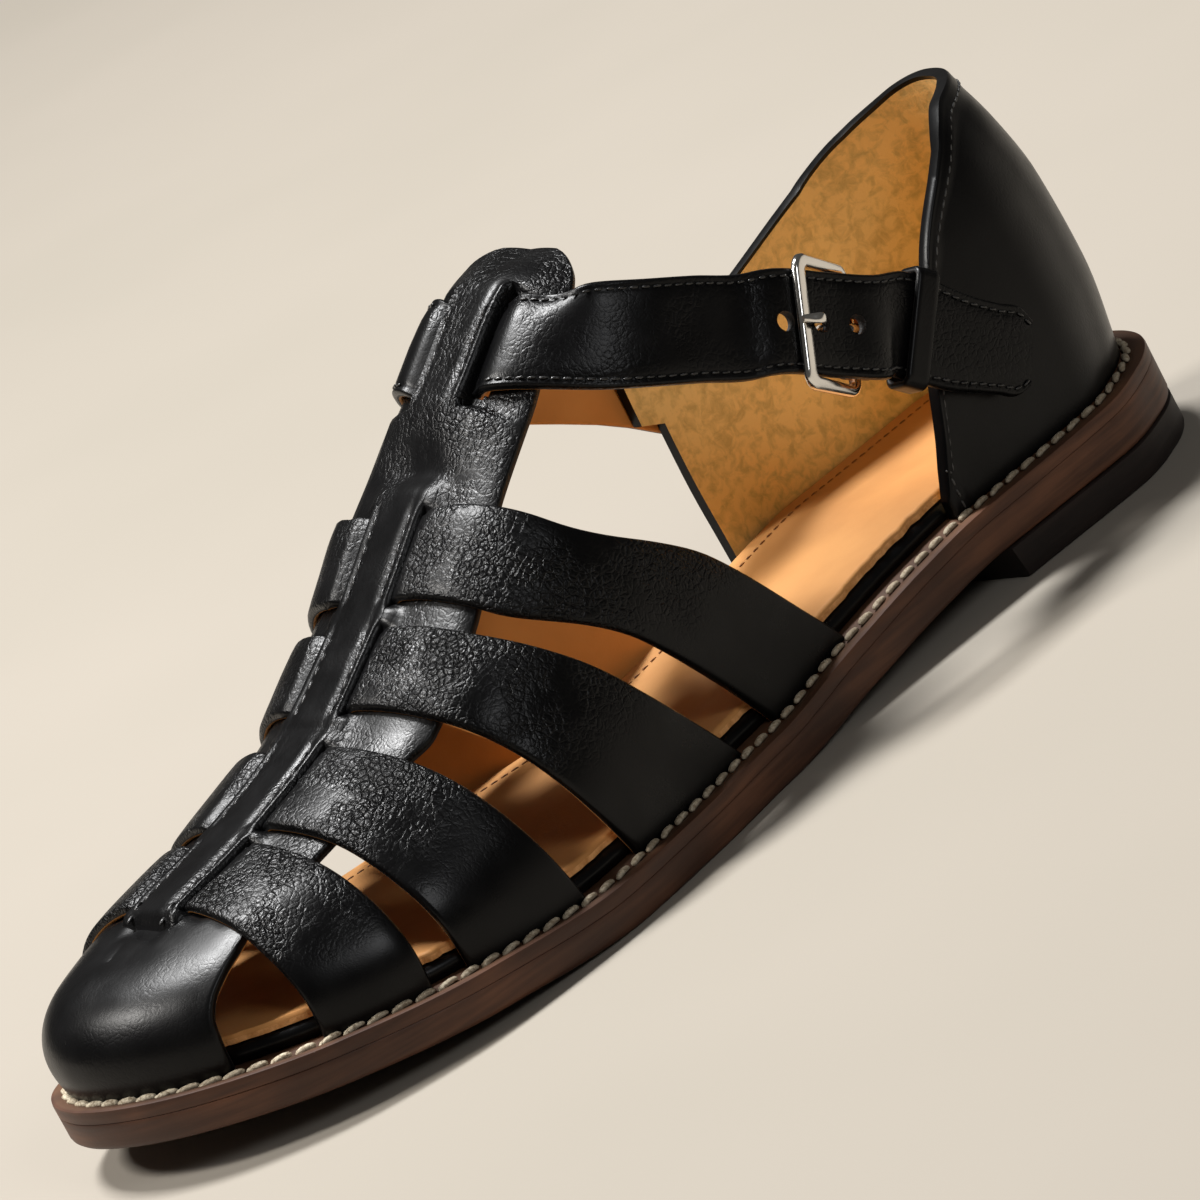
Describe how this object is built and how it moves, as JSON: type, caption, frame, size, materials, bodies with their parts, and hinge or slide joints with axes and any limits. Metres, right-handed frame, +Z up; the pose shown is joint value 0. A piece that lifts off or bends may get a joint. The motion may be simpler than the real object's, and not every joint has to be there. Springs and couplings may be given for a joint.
{
  "type": "fisherman sandal",
  "caption": "Left leather fisherman sandal with woven straps under a centre band, closed heel, buckled ankle strap and a welted low-heeled sole.",
  "frame": {"origin": "on the floor under the middle of the heel block's flat underside", "axes": "+X forward to the toe, +Y to the wearer's left, which is the outer side of this left shoe, +Z up"},
  "size_m": [0.3, 0.1046, 0.1089],
  "materials": {
    "black_leather": "smooth black leather with a soft sheen",
    "tan_leather": "smooth tan insole leather",
    "sole_leather": "burnished dark brown sole edge",
    "welt_leather": "brown welt leather with pale stitches",
    "heel_rubber": "matt dark brown heel rubber",
    "nickel": "polished nickel"
  },
  "bodies": {
    "root": {"outsole": "sole_leather", "welt": "welt_leather", "heel": "heel_rubber", "footbed": "black_leather", "insole": "tan_leather", "upper_front": "black_leather", "quarter": "black_leather", "ankle_strap": "black_leather", "buckle_tab": "black_leather", "keeper": "black_leather", "buckle_frame": "nickel", "buckle_prong": "nickel"}
  },
  "joints": []
}
